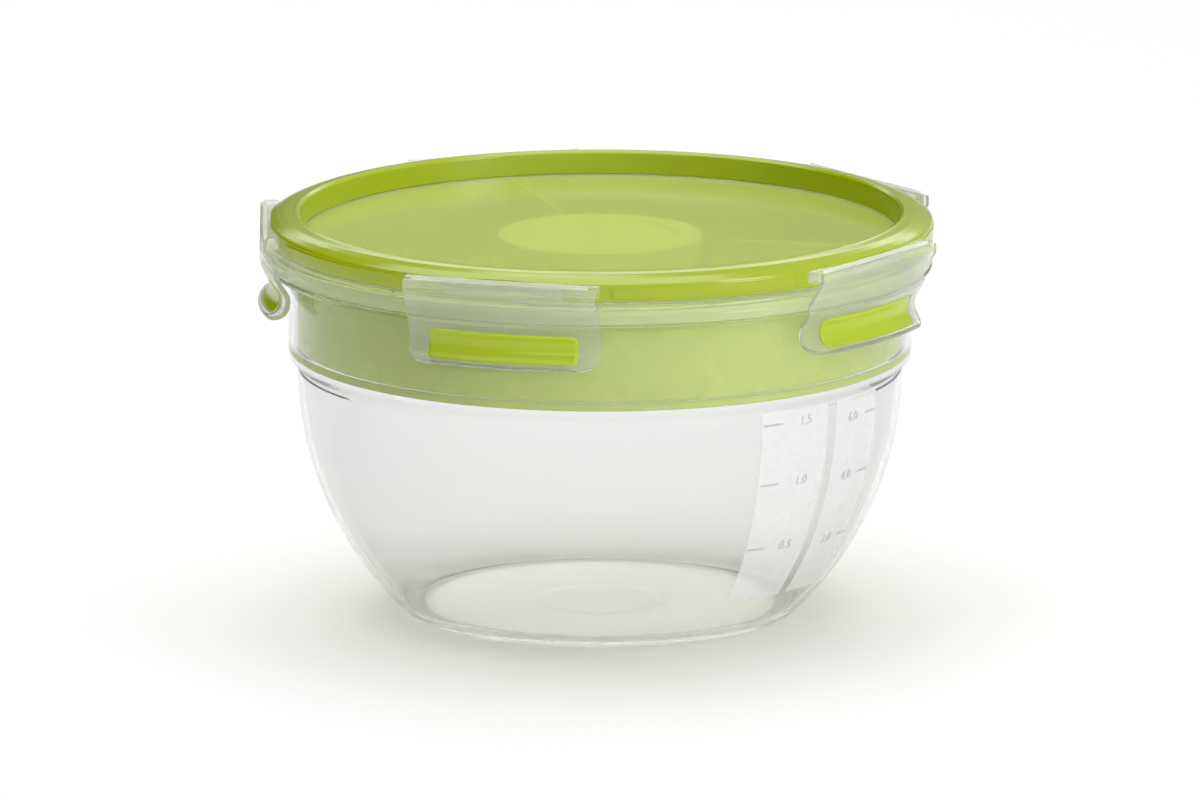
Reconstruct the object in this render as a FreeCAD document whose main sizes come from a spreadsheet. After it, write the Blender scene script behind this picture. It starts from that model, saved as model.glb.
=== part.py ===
import FreeCAD, Part
import math
import os
import Sketcher

# Round snap-lid food container: a clear bowl, a lift-out tray with a dressing pot,
# and a lid held down by five hinged clips. Millimetres, +Z up, origin on the bowl's
# axis at the table. A clip's own X axis points straight out from the bowl's axis.

SIZES = [
    # clear bowl
    ("foot_inner_radius", 53.3),
    ("foot_radius", 57.4),
    ("foot_height", 0.6),
    ("foot_corner", 6.0),
    ("belly_start_radius", 61.65),
    ("belly_start_height", 1.75),
    ("belly_arc", 103.6),
    ("belly_radius", 93.0),
    ("belly_top", 76.0),
    ("bowl_wall", 1.8),
    ("floor_top", 2.4),
    ("floor_radius", 54.4),
    ("floor_corner", 12.3),
    ("floor_corner_radius", 63.3),
    ("floor_corner_height", 6.2),
    ("gate_disc_radius", 19.0),
    ("gate_disc_depth", 0.5),
    ("step_bottom", 77.6),
    ("band_radius", 95.9),
    ("step_top", 80.5),
    ("ledge_height", 83.9),
    ("flange_radius", 102.2),
    ("flange_bottom", 107.6),
    ("flange_root", 2.0),
    ("flange_bevel", 0.46),
    ("flange_bevel_height", 0.8),
    ("rim_top", 109.2),
    ("edge_round", 0.4),
    # tray
    ("tray_bottom", 83.95),
    ("tray_rib_bottom", 80.7),
    ("tray_rib_outer", 90.6),
    ("tray_rib_inner", 89.2),
    ("tray_floor", 85.4),
    ("tray_radius", 92.8),
    ("tray_rim_radius", 93.4),
    ("tray_rim_top", 108.6),
    ("tray_wall", 1.4),
    ("tray_corner", 3.5),
    ("well_radius", 32.1),
    ("well_top", 100.0),
    ("divider_thickness", 1.5),
    ("divider_end", 90.9),
    ("divider_top", 116.0),
    ("divider_nose", 8.0),
    # dressing pot and its cap
    ("pot_bottom", 85.5),
    ("pot_radius", 28.6),
    ("pot_bore", 27.1),
    ("pot_floor", 87.5),
    ("pot_recess_radius", 22.9),
    ("pot_recess_depth", 0.6),
    ("pot_stop_radius", 29.9),
    ("pot_stop_height", 106.0),
    ("pot_top", 112.3),
    ("pot_lug_radius", 29.7),
    ("pot_lug_bottom", 109.4),
    ("lug_height", 1.2),
    ("lug_half_angle", 17.0),
    ("cap_radius", 31.5),
    ("cap_bore", 30.1),
    ("cap_bottom", 107.4),
    ("cap_top", 116.0),
    ("cap_plate_bottom", 113.5),
    ("cap_dish_radius", 24.0),
    ("cap_dish_depth", 1.1),
    ("cap_lug_radius", 28.8),
    ("cap_lug_bottom", 107.9),
    ("cap_seal_inner", 25.6),
    ("cap_seal_outer", 28.9),
    ("cap_seal_bottom", 112.4),
    # lid
    ("panel_bottom", 116.2),
    ("panel_top", 117.7),
    ("plug_inner", 91.9),
    ("plug_outer", 93.7),
    ("plug_bottom", 109.8),
    ("seal_groove_top", 113.9),
    ("skirt_inner", 100.6),
    ("skirt_radius", 102.2),
    ("skirt_bottom", 109.7),
    ("skirt_top", 116.7),
    ("upstand_inner", 93.2),
    ("upstand_outer", 94.9),
    ("upstand_top", 122.2),
    ("lid_hollow_bottom", 115.4),
    ("outer_wall_inner", 99.1),
    ("outer_wall_outer", 100.5),
    ("outer_wall_top", 120.8),
    ("fit_gap", 0.05),
    ("ring_inner", 91.5),
    ("ring_crest_radius", 93.6),
    ("ring_crest_height", 124.7),
    ("ring_edge_height", 122.4),
    ("ring_lip_face", 101.2),
    ("seal_inner", 93.9),
    ("seal_outer", 100.4),
    ("seal_bottom", 109.3),
    ("seal_web", 112.0),
    # clips, in the clip's own frame
    ("hinge_offset", 102.9),
    ("hinge_height", 122.0),
    ("hinge_bead", 0.6),
    ("hinge_groove", 0.65),
    ("hinge_length", 56.0),
    ("block_inner", 98.9),
    ("block_face", 102.7),
    ("block_bottom", 118.7),
    ("clip_width", 61.0),
    ("clip_inner", 103.1),
    ("clip_thickness", 1.4),
    ("clip_head_bottom", 118.5),
    ("clip_round_top", 111.5),
    ("clip_half_angle", 18.5),
    ("clip_shoulder", 109.3),
    ("clip_bend", 3.8),
    ("clip_bottom", 95.5),
    ("clip_corner", 6.0),
    ("hook_slope", 60.0),
    ("hook_drop", 4.8),
    ("hook_arc", 6.5),
    ("lip_sweep", 14.0),
    ("grip_width", 47.4),
    ("grip_depth", 0.7),
    ("grip_proud", 0.35),
    ("grip_rise", 2.0),
    ("grip_sweep", 92.0),
    ("grip_corner", 2.2),
]

CLIP_COUNT = 5
DIVIDER_COUNT = 3
LUG_COUNT = 3
FIRST_CLIP_TURN = -107.2
DIVIDER_TURN = -12.0
FULL_TURN = 360.0
LIP_ROUND = 0.52  # lip end radius as a share of the clip's thickness


class Dim:
    """A length that carries its value and the spreadsheet expression behind it."""

    def __init__(self, text, value):
        self.text = text
        self.value = value

    def __add__(self, other):
        other = as_dim(other)
        return Dim("(%s + %s)" % (self.text, other.text), self.value + other.value)

    def __sub__(self, other):
        other = as_dim(other)
        return Dim("(%s - %s)" % (self.text, other.text), self.value - other.value)

    def __mul__(self, other):
        other = as_dim(other)
        return Dim("(%s * %s)" % (self.text, other.text), self.value * other.value)

    def __truediv__(self, other):
        other = as_dim(other)
        return Dim("(%s / %s)" % (self.text, other.text), self.value / other.value)

    def __neg__(self):
        return Dim("(0 - %s)" % self.text, -self.value)


def as_dim(value):
    return value if isinstance(value, Dim) else Dim("%.6g" % value, float(value))


def cosine(angle):
    return Dim("cos(%s)" % angle.text, math.cos(math.radians(angle.value)))


def sine(angle):
    return Dim("sin(%s)" % angle.text, math.sin(math.radians(angle.value)))


def tangent(angle):
    return Dim("tan(%s)" % angle.text, math.tan(math.radians(angle.value)))


def polar(radius, angle, centre=(0.0, 0.0)):
    """The point at a radius and an angle in degrees around a centre."""
    radius, angle = as_dim(radius), as_dim(angle)
    return (radius * cosine(angle) + centre[0], radius * sine(angle) + centre[1])


def shifted(point, length, angle):
    """A point moved a length along a direction."""
    step = polar(length, angle)
    return (step[0] + point[0], step[1] + point[1])


class Sizes:
    """Spreadsheet of driving sizes, read back as Dim values."""

    def __init__(self, doc):
        sheet = doc.addObject("Spreadsheet::Sheet", "Sizes")
        for row, (name, value) in enumerate(SIZES, start=1):
            sheet.set("A%d" % row, name)
            sheet.set("B%d" % row, repr(value))
            sheet.setAlias("B%d" % row, name)
            setattr(self, name, Dim("Sizes." + name, value))


class Arc:
    """Marks a profile side as an arc; the centre is on its left or its right."""

    def __init__(self, radius, centre_side):
        self.radius = as_dim(radius)
        self.left = centre_side == "left"


def bind(feature, prop, length):
    feature.setExpression(prop, as_dim(length).text)


def origin_feature(body, role):
    return [item for item in body.Origin.OriginFeatures if item.Role == role][0]


def new_body(doc, label, turn=0.0):
    body = doc.addObject("PartDesign::Body", label)
    body.Placement = FreeCAD.Placement(
        FreeCAD.Vector(0, 0, 0), FreeCAD.Rotation(FreeCAD.Vector(0, 0, 1), turn))
    return body


def new_sketch(body, name, role, offset=None):
    sketch = body.newObject("Sketcher::SketchObject", name)
    sketch.AttachmentSupport = [(origin_feature(body, role), "")]
    sketch.MapMode = "FlatFace"
    if offset is not None:
        bind(sketch, "AttachmentOffset.Base.z", offset)
    return sketch


def pin_point(sketch, side, end, point):
    """Hold one end of a side at a point measured from the sketch's origin."""
    for kind, length in zip(("DistanceX", "DistanceY"), point):
        index = sketch.addConstraint(Sketcher.Constraint(kind, -1, 1, side, end, length.value))
        bind(sketch, "Constraints[%d]" % index, length)


def arc_geometry(start, finish, arc):
    """A circular side between two points, and whether it runs anticlockwise."""
    first = FreeCAD.Vector(start[0].value, start[1].value, 0)
    last = FreeCAD.Vector(finish[0].value, finish[1].value, 0)
    chord = last - first
    normal = FreeCAD.Vector(-chord.y, chord.x, 0).normalize()
    height = math.sqrt(max(arc.radius.value ** 2 - (chord.Length / 2) ** 2, 0.0))
    centre = (first + last) * 0.5 + normal * (height if arc.left else -height)
    ends = [math.atan2(p.y - centre.y, p.x - centre.x) for p in (first, last)]
    circle = Part.Circle(centre, FreeCAD.Vector(0, 0, 1), arc.radius.value)
    low, high = ends if arc.left else reversed(ends)
    return Part.ArcOfCircle(circle, low, high)


def closed_profile(sketch, path):
    """Draw a closed outline from points, with an Arc before a point for a round side."""
    points = []
    arcs = {}
    for item in path:
        if isinstance(item, Arc):
            arcs[len(points) - 1] = item
        else:
            points.append((as_dim(item[0]), as_dim(item[1])))
    count = len(points)
    ends = []
    for index, start in enumerate(points):
        finish = points[(index + 1) % count]
        if index in arcs:
            side = sketch.addGeometry(arc_geometry(start, finish, arcs[index]))
            ends.append((side, 1, 2) if arcs[index].left else (side, 2, 1))
            number = sketch.addConstraint(
                Sketcher.Constraint("Radius", side, arcs[index].radius.value))
            bind(sketch, "Constraints[%d]" % number, arcs[index].radius)
        else:
            line = Part.LineSegment(
                FreeCAD.Vector(start[0].value, start[1].value, 0),
                FreeCAD.Vector(finish[0].value, finish[1].value, 0))
            ends.append((sketch.addGeometry(line), 1, 2))
    for index in range(count):
        side, begin, _ = ends[index]
        before, _, stop = ends[index - 1]
        sketch.addConstraint(Sketcher.Constraint("Coincident", before, stop, side, begin))
        pin_point(sketch, side, begin, points[index])


def rounded_rectangle(left, low, right, high, corner):
    """Outline with four round corners, anticlockwise from the lower left."""
    turn = Arc(corner, "left")
    return [(left + corner, low), (right - corner, low), turn,
            (right, low + corner), (right, high - corner), turn,
            (right - corner, high), (left + corner, high), turn,
            (left, high - corner), (left, low + corner), turn]


def revolve(body, name, path, half_angle=None):
    """Turn an outline right round the axis, or by a half angle to each side."""
    sketch = new_sketch(body, name + "_profile", "XZ_Plane")
    closed_profile(sketch, path)
    feature = body.newObject("PartDesign::Revolution", name)
    feature.Profile = sketch
    feature.ReferenceAxis = (sketch, ["V_Axis"])
    if half_angle is None:
        feature.Angle = FULL_TURN
    else:
        feature.Midplane = True
        bind(feature, "Angle", half_angle * 2)
    sketch.Visibility = False
    return feature


def loft(body, name, levels):
    """Ruled body between outlines drawn at given heights, lowest first."""
    sketches = []
    for number, (height, path) in enumerate(levels, start=1):
        sketch = new_sketch(body, "%s_level_%d" % (name, number), "XY_Plane", height)
        closed_profile(sketch, path)
        sketches.append(sketch)
    feature = body.newObject("PartDesign::AdditiveLoft", name)
    feature.Profile = sketches[0]
    feature.Sections = sketches[1:]
    feature.Ruled = True
    return feature


def pad(body, name, role, path, length, offset=None, symmetric=False):
    sketch = new_sketch(body, name + "_profile", role, offset)
    closed_profile(sketch, path)
    feature = body.newObject("PartDesign::Pad", name)
    feature.Profile = sketch
    feature.SideType = "Symmetric" if symmetric else "One side"
    bind(feature, "Length", length)
    return feature


def circle(sketch, across, up, radius):
    ring = sketch.addGeometry(Part.Circle(
        FreeCAD.Vector(across.value, up.value, 0), FreeCAD.Vector(0, 0, 1), radius.value))
    pin_point(sketch, ring, 3, (across, up))
    number = sketch.addConstraint(Sketcher.Constraint("Radius", ring, radius.value))
    bind(sketch, "Constraints[%d]" % number, radius)


def cut_through(body, name, role, paths, length, offset=None):
    """Remove the drawn area over a length centred on the sketch plane."""
    sketch = new_sketch(body, name + "_profile", role, offset)
    for path in paths:
        if len(path) == 3 and isinstance(path[0], Dim):
            circle(sketch, *path)
        else:
            closed_profile(sketch, path)
    feature = body.newObject("PartDesign::Pocket", name)
    feature.Profile = sketch
    feature.SideType = "Symmetric"
    bind(feature, "Length", length)
    return feature


def around_axis(body, name, originals, count):
    pattern = body.newObject("PartDesign::PolarPattern", name)
    pattern.Originals = originals
    pattern.Axis = (origin_feature(body, "Z_Axis"), [""])
    pattern.Angle = FULL_TURN
    pattern.Occurrences = count
    body.Tip = pattern
    return pattern


def make_bowl(doc, s):
    """Clear bowl: belly, step out to the band that holds the tray, flange on top."""
    body = new_body(doc, "bowl")
    bore = s.belly_radius - s.bowl_wall
    band_bore = s.band_radius - s.bowl_wall
    round_ = s.edge_round
    revolve(body, "bowl_wall", [
        (0, 0),
        (s.gate_disc_radius, 0),
        (s.gate_disc_radius + s.foot_height, s.foot_height),
        (s.foot_inner_radius - s.foot_height, s.foot_height),
        (s.foot_inner_radius, 0),
        (s.foot_radius, 0),
        Arc(s.foot_corner, "left"),
        (s.belly_start_radius, s.belly_start_height),
        Arc(s.belly_arc, "left"),
        (s.belly_radius, s.belly_top),
        (s.belly_radius, s.step_bottom),
        (s.band_radius, s.step_top),
        (s.band_radius, s.flange_bottom - s.flange_root),
        Arc(s.flange_root, "right"),
        (s.band_radius + s.flange_root, s.flange_bottom),
        (s.flange_radius - s.flange_bevel, s.flange_bottom),
        (s.flange_radius, s.flange_bottom + s.flange_bevel_height),
        (s.flange_radius, s.rim_top - round_),
        Arc(round_, "left"),
        (s.flange_radius - round_, s.rim_top),
        (band_bore + round_, s.rim_top),
        Arc(round_, "left"),
        (band_bore, s.rim_top - round_),
        (band_bore, s.ledge_height),
        (bore + round_, s.ledge_height),
        Arc(round_, "left"),
        (bore, s.ledge_height - round_),
        (bore, s.belly_top),
        Arc(s.belly_arc - s.bowl_wall, "right"),
        (s.floor_corner_radius, s.floor_corner_height),
        Arc(s.floor_corner, "right"),
        (s.floor_radius, s.floor_top),
        (s.gate_disc_radius + s.gate_disc_depth, s.floor_top),
        (s.gate_disc_radius, s.floor_top - s.gate_disc_depth),
        (0, s.floor_top - s.gate_disc_depth),
    ])
    return body


def make_tray(doc, s):
    """Lift-out tray: floor, wall, pot well, three dividers and a centring rib below."""
    body = new_body(doc, "salad_tray", DIVIDER_TURN)
    corner = s.tray_corner
    wall_foot = s.tray_radius - s.tray_wall
    well_outer = s.well_radius + s.tray_wall
    round_ = s.edge_round
    revolve(body, "tray_shell", [
        (0, s.tray_bottom),
        (s.tray_rib_inner, s.tray_bottom),
        (s.tray_rib_inner, s.tray_rib_bottom),
        (s.tray_rib_outer, s.tray_rib_bottom),
        (s.tray_rib_outer, s.tray_bottom),
        (s.tray_radius - round_, s.tray_bottom),
        Arc(round_, "left"),
        (s.tray_radius, s.tray_bottom + round_),
        (s.tray_rim_radius, s.tray_rim_top - round_),
        Arc(round_, "left"),
        (s.tray_rim_radius - round_, s.tray_rim_top),
        (s.tray_rim_radius - s.tray_wall + round_, s.tray_rim_top),
        Arc(round_, "left"),
        (s.tray_rim_radius - s.tray_wall, s.tray_rim_top - round_),
        (wall_foot, s.tray_floor + corner),
        Arc(corner, "right"),
        (wall_foot - corner, s.tray_floor),
        (well_outer, s.tray_floor),
        (well_outer, s.well_top - round_),
        Arc(round_, "left"),
        (well_outer - round_, s.well_top),
        (s.well_radius + round_, s.well_top),
        Arc(round_, "left"),
        (s.well_radius, s.well_top - round_),
        (s.well_radius, s.tray_floor),
        (0, s.tray_floor),
    ])
    nose = s.divider_nose
    well_middle = s.well_radius + s.tray_wall * 0.5
    root = s.tray_floor - s.tray_wall * 0.5
    divider = pad(body, "divider", "XZ_Plane", [
        (well_middle, root),
        (s.tray_radius - s.tray_wall * 0.5, root),
        (s.tray_radius - s.tray_wall * 0.5, s.tray_rim_top - s.tray_wall),
        (s.divider_end, s.tray_rim_top),
        (s.divider_end, s.divider_top - s.tray_wall),
        Arc(s.tray_wall, "left"),
        (s.divider_end - s.tray_wall, s.divider_top),
        (well_middle + nose, s.divider_top),
        Arc(nose, "left"),
        (well_middle, s.divider_top - nose),
    ], s.divider_thickness, symmetric=True)
    around_axis(body, "dividers", [divider], DIVIDER_COUNT)
    return body


def sector_outline(inner, outer, half_angle):
    """Plan outline between two radii, centred on the X axis."""
    return [polar(inner, -half_angle), polar(outer, -half_angle), Arc(outer, "left"),
            polar(outer, half_angle), polar(inner, half_angle), Arc(inner, "right")]


def make_dressing_pot(doc, s):
    """Round pot with a stop bead and three lugs that hold its cap."""
    body = new_body(doc, "dressing_pot")
    round_ = s.edge_round
    bead = s.pot_stop_radius - s.pot_radius
    revolve(body, "pot_wall", [
        (0, s.pot_bottom + s.pot_recess_depth),
        (s.pot_recess_radius, s.pot_bottom + s.pot_recess_depth),
        (s.pot_recess_radius + s.pot_recess_depth, s.pot_bottom),
        (s.pot_radius - round_ * 2, s.pot_bottom),
        Arc(round_ * 2, "left"),
        (s.pot_radius, s.pot_bottom + round_ * 2),
        (s.pot_radius, s.pot_stop_height - bead),
        (s.pot_stop_radius, s.pot_stop_height - round_),
        (s.pot_stop_radius, s.pot_stop_height + round_),
        (s.pot_radius, s.pot_stop_height + bead),
        (s.pot_radius, s.pot_top - round_),
        Arc(round_, "left"),
        (s.pot_radius - round_, s.pot_top),
        (s.pot_bore + round_, s.pot_top),
        Arc(round_, "left"),
        (s.pot_bore, s.pot_top - round_),
        (s.pot_bore, s.pot_floor + s.tray_corner),
        Arc(s.tray_corner, "right"),
        (s.pot_bore - s.tray_corner, s.pot_floor),
        (0, s.pot_floor),
    ])
    lug = pad(body, "pot_lug", "XY_Plane",
              sector_outline(s.pot_radius - round_, s.pot_lug_radius, s.lug_half_angle),
              s.lug_height, offset=s.pot_lug_bottom)
    around_axis(body, "pot_lugs", [lug], LUG_COUNT)
    return body


def make_pot_cap(doc, s):
    """Quarter-turn cap: dished top, skirt, three lugs under the pot's lugs."""
    body = new_body(doc, "pot_cap")
    round_ = s.edge_round
    revolve(body, "cap_wall", [
        (0, s.cap_plate_bottom),
        (s.cap_bore, s.cap_plate_bottom),
        (s.cap_bore, s.cap_bottom + round_),
        (s.cap_bore + round_, s.cap_bottom),
        (s.cap_radius - round_, s.cap_bottom),
        (s.cap_radius, s.cap_bottom + round_),
        (s.cap_radius, s.cap_top - round_ * 2),
        Arc(round_ * 2, "left"),
        (s.cap_radius - round_ * 2, s.cap_top),
        (s.cap_dish_radius + round_, s.cap_top),
        (s.cap_dish_radius - round_, s.cap_top - s.cap_dish_depth),
        (0, s.cap_top - s.cap_dish_depth),
    ])
    lug = pad(body, "cap_lug", "XY_Plane",
              sector_outline(s.cap_lug_radius, s.cap_bore + round_, s.lug_half_angle),
              s.lug_height, offset=s.cap_lug_bottom)
    around_axis(body, "cap_lugs", [lug], LUG_COUNT)
    return body


def make_pot_cap_seal(doc, s):
    body = new_body(doc, "pot_cap_seal")
    revolve(body, "washer", [
        (s.cap_seal_inner, s.cap_seal_bottom),
        (s.cap_seal_outer, s.cap_seal_bottom),
        (s.cap_seal_outer, s.cap_plate_bottom),
        (s.cap_seal_inner, s.cap_plate_bottom),
    ])
    return body


def make_lid_shell(doc, s):
    """Clear lid: panel, plug rib, skirt, hollow edge and five straight hinge blocks."""
    body = new_body(doc, "lid_shell", FIRST_CLIP_TURN)
    round_ = s.edge_round
    revolve(body, "lid_wall", [
        (0, s.panel_bottom),
        (s.plug_inner, s.panel_bottom),
        (s.plug_inner, s.plug_bottom + round_),
        (s.plug_inner + round_, s.plug_bottom),
        (s.plug_outer - round_, s.plug_bottom),
        (s.plug_outer, s.plug_bottom + round_),
        (s.plug_outer, s.seal_groove_top),
        (s.skirt_inner, s.seal_groove_top),
        (s.skirt_inner, s.skirt_bottom + round_),
        (s.skirt_inner + round_, s.skirt_bottom),
        (s.skirt_radius - round_, s.skirt_bottom),
        Arc(round_, "left"),
        (s.skirt_radius, s.skirt_bottom + round_),
        (s.skirt_radius, s.skirt_top),
        (s.outer_wall_outer, s.skirt_top),
        (s.outer_wall_outer, s.outer_wall_top),
        (s.outer_wall_inner, s.outer_wall_top + round_),
        (s.outer_wall_inner, s.lid_hollow_bottom),
        (s.upstand_outer, s.lid_hollow_bottom),
        (s.upstand_outer, s.upstand_top - round_),
        (s.upstand_inner, s.upstand_top),
        (s.upstand_inner, s.panel_top),
        (0, s.panel_top),
    ])
    half = s.clip_width * 0.5
    block = pad(body, "hinge_block", "XY_Plane", [
        (s.block_inner, -half),
        (s.block_face - round_, -half),
        Arc(round_, "left"),
        (s.block_face, -half + round_),
        (s.block_face, half - round_),
        Arc(round_, "left"),
        (s.block_face - round_, half),
        (s.block_inner, half),
    ], s.hinge_height - s.block_bottom, offset=s.block_bottom)
    groove = cut_through(body, "hinge_groove", "XZ_Plane", [
        (s.hinge_offset, s.hinge_height, s.hinge_groove)], s.clip_width + 2)
    around_axis(body, "hinge_blocks", [block, groove], CLIP_COUNT)
    return body


def make_lid_ring(doc, s):
    """Vivid ring over the lid's edge, notched where the hinge blocks stand."""
    body = new_body(doc, "lid_ring", FIRST_CLIP_TURN)
    gap = s.fit_gap
    round_ = s.edge_round
    revolve(body, "ring_wall", [
        (s.ring_inner, s.panel_top),
        (s.upstand_inner - gap, s.panel_top),
        (s.upstand_inner - gap, s.upstand_top + gap),
        (s.upstand_outer + gap, s.upstand_top + gap - round_),
        (s.outer_wall_inner, s.outer_wall_top + round_ + gap),
        (s.outer_wall_outer + gap, s.outer_wall_top + gap),
        (s.outer_wall_outer + gap, s.skirt_top + gap),
        (s.skirt_radius, s.skirt_top + gap),
        (s.skirt_radius, s.ring_edge_height - round_ * 2),
        Arc(round_ * 2, "left"),
        (s.skirt_radius - round_ * 2, s.ring_edge_height),
        (s.ring_crest_radius + round_ * 2, s.ring_crest_height - round_ * 0.5),
        Arc(round_ * 3, "left"),
        (s.ring_crest_radius - round_ * 3, s.ring_crest_height - round_ * 2),
    ])
    notch_reach = s.clip_width * 0.5 + s.fit_gap * 4
    notch_end = s.hinge_offset + s.clip_thickness

    def notch_outline(face):
        return [(face, -notch_reach), (notch_end, -notch_reach),
                (notch_end, notch_reach), (face, notch_reach)]

    block_notch = cut_through(body, "block_notch", "XY_Plane", [
        notch_outline(s.block_inner - gap * 2)], (s.hinge_height + gap) * 2)
    lip_notch = cut_through(body, "lip_notch", "XY_Plane", [
        notch_outline(s.ring_lip_face)], s.ring_crest_height * 3)
    around_axis(body, "hinge_notches", [block_notch, lip_notch], CLIP_COUNT)
    return body


def make_lid_seal(doc, s):
    """Soft ring in the lid's groove, with two lips over the bowl's rim."""
    body = new_body(doc, "lid_seal")
    third = (s.seal_outer - s.seal_inner) * 0.2
    lip = s.edge_round * 1.5
    revolve(body, "seal_section", [
        (s.seal_inner, s.seal_groove_top),
        (s.seal_inner, s.seal_web),
        (s.seal_inner + third, s.seal_bottom),
        (s.seal_inner + third + lip, s.seal_bottom),
        (s.seal_inner + third * 2 + lip, s.seal_web),
        (s.seal_outer - third * 2 - lip, s.seal_web),
        (s.seal_outer - third - lip, s.seal_bottom),
        (s.seal_outer - third, s.seal_bottom),
        (s.seal_outer, s.seal_web),
        (s.seal_outer, s.seal_groove_top),
    ])
    return body


def hook_points(s):
    """Where the clip's slope meets its curl, and the curl's centre."""
    slope_end = shifted((s.clip_inner, s.clip_shoulder), s.hook_drop, s.hook_slope + 180)
    return slope_end, shifted(slope_end, s.hook_arc, s.hook_slope - 90)


def head_outline(s):
    """Plan of the clip's straight head, as wide as the band it grows into."""
    outer = s.clip_inner + s.clip_thickness
    reach = s.clip_inner * sine(s.clip_half_angle)
    return [(s.clip_inner, -reach), (outer, -reach), (outer, reach), (s.clip_inner, reach)]


def make_clip_blank(doc, s, label, turn):
    """Clip before its grip pocket: straight head, round wall, hook and curled lip."""
    body = new_body(doc, label, turn)
    slope_end, centre = hook_points(s)
    back = s.hook_slope + 180
    lip = back + s.lip_sweep
    half_bend = (as_dim(90) - s.hook_slope) * 0.5
    inner_bend = s.clip_bend
    outer_bend = s.clip_bend + s.clip_thickness
    inner_leg = inner_bend * tangent(half_bend)
    outer_leg = outer_bend * tangent(half_bend)
    outer_face = s.clip_inner + s.clip_thickness
    inner_knee = (s.clip_inner, s.clip_shoulder)
    outer_knee = (outer_face, s.clip_shoulder - s.clip_thickness * tangent(half_bend))
    outer_curl = s.hook_arc - s.clip_thickness
    revolve(body, label + "_hook", [
        (s.clip_inner, s.clip_round_top),
        (s.clip_inner, s.clip_shoulder + inner_leg),
        Arc(inner_bend, "right"),
        shifted(inner_knee, inner_leg, back),
        slope_end,
        Arc(s.hook_arc, "left"),
        polar(s.hook_arc, lip, centre),
        Arc(s.clip_thickness * LIP_ROUND, "left"),
        polar(outer_curl, lip, centre),
        Arc(outer_curl, "right"),
        shifted(slope_end, s.clip_thickness, s.hook_slope - 90),
        shifted(outer_knee, outer_leg, back),
        Arc(outer_bend, "left"),
        (outer_face, outer_knee[1] + outer_leg),
        (outer_face, s.clip_round_top),
    ], s.clip_half_angle)
    loft(body, label + "_shoulder", [
        (s.clip_round_top, sector_outline(s.clip_inner, outer_face, s.clip_half_angle)),
        (s.clip_head_bottom, head_outline(s)),
    ])
    pad(body, label + "_head", "XZ_Plane", [
        (s.clip_inner, s.hinge_height - s.hinge_groove - s.fit_gap),
        (s.clip_inner, s.clip_head_bottom),
        (outer_face, s.clip_head_bottom),
        (outer_face, s.hinge_height - s.hinge_bead * 1.5),
        (outer_face - s.edge_round, s.hinge_height - s.hinge_bead * 0.5),
    ], s.clip_width, symmetric=True)
    half = s.clip_width * 0.5
    corner = Arc(s.clip_corner, "left")
    far = s.clip_width
    high = s.hinge_height + s.clip_corner
    low = s.clip_bottom - s.clip_corner
    cut_through(body, label + "_outline", "YZ_Plane", [
        [(-far, low), (far, low), (far, high), (-far, high)],
        [(-half + s.clip_corner, s.clip_bottom), (half - s.clip_corner, s.clip_bottom), corner,
         (half, s.clip_bottom + s.clip_corner), (half, high - s.edge_round),
         (-half, high - s.edge_round), (-half, s.clip_bottom + s.clip_corner), corner],
    ], s.hinge_offset * 3)
    return body


def make_clip_grip(doc, s, label, turn):
    """Soft pad let into the hollow of the clip's outer face."""
    body = new_body(doc, label, turn)
    slope_end, centre = hook_points(s)
    surface = s.hook_arc - s.clip_thickness
    proud = surface - s.grip_proud
    deep = surface + s.grip_depth
    start = s.hook_slope + 90
    finish = start + s.grip_sweep
    top_front = shifted(polar(proud, start, centre), s.grip_rise, s.hook_slope)
    top_back = shifted(polar(deep, start, centre), s.grip_rise, s.hook_slope)
    bottom_front = polar(proud, finish, centre)
    revolve(body, label + "_section", [
        top_front,
        top_back,
        polar(deep, start, centre),
        Arc(deep, "left"),
        polar(deep, finish, centre),
        bottom_front,
        Arc(proud, "right"),
        polar(proud, start, centre),
    ], s.clip_half_angle)
    half = s.grip_width * 0.5
    far = s.clip_width
    cut_through(body, label + "_outline", "YZ_Plane", [
        [(-far, s.clip_bottom - far), (far, s.clip_bottom - far),
         (far, s.hinge_height), (-far, s.hinge_height)],
        rounded_rectangle(-half, polar(deep, finish, centre)[1], half,
                          top_back[1], s.grip_corner),
    ], s.hinge_offset * 3)
    return body


def make_film_hinge(doc, s, label, turn):
    body = new_body(doc, label, turn)
    sketch = new_sketch(body, label + "_profile", "XZ_Plane")
    circle(sketch, s.hinge_offset, s.hinge_height, s.hinge_bead)
    bead = body.newObject("PartDesign::Pad", label + "_bead")
    bead.Profile = sketch
    bead.SideType = "Symmetric"
    bind(bead, "Length", s.hinge_length)
    return body


def make_clip_set(doc, s, number):
    """One clip with its grip and film hinge, turned to its place on the lid."""
    turn = FIRST_CLIP_TURN + (number - 1) * FULL_TURN / CLIP_COUNT
    blank = make_clip_blank(doc, s, "clip_blank_%d" % number, turn)
    grip = make_clip_grip(doc, s, "clip_grip_%d" % number, turn)
    clip = doc.addObject("Part::Cut", "clip_%d" % number)
    clip.Base = blank
    clip.Tool = grip
    return [clip, grip, make_film_hinge(doc, s, "film_hinge_%d" % number, turn)]


def build_all(doc, s):
    nodes = [
        make_bowl(doc, s),
        make_tray(doc, s),
        make_dressing_pot(doc, s),
        make_pot_cap(doc, s),
        make_pot_cap_seal(doc, s),
        make_lid_shell(doc, s),
        make_lid_ring(doc, s),
        make_lid_seal(doc, s),
    ]
    for number in range(1, CLIP_COUNT + 1):
        nodes += make_clip_set(doc, s, number)
    return nodes


def check_objects(doc):
    for item in doc.Objects:
        if "Invalid" in item.State or "Error" in item.State:
            raise RuntimeError("%s did not rebuild: %s" % (item.Label, item.State))


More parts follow.
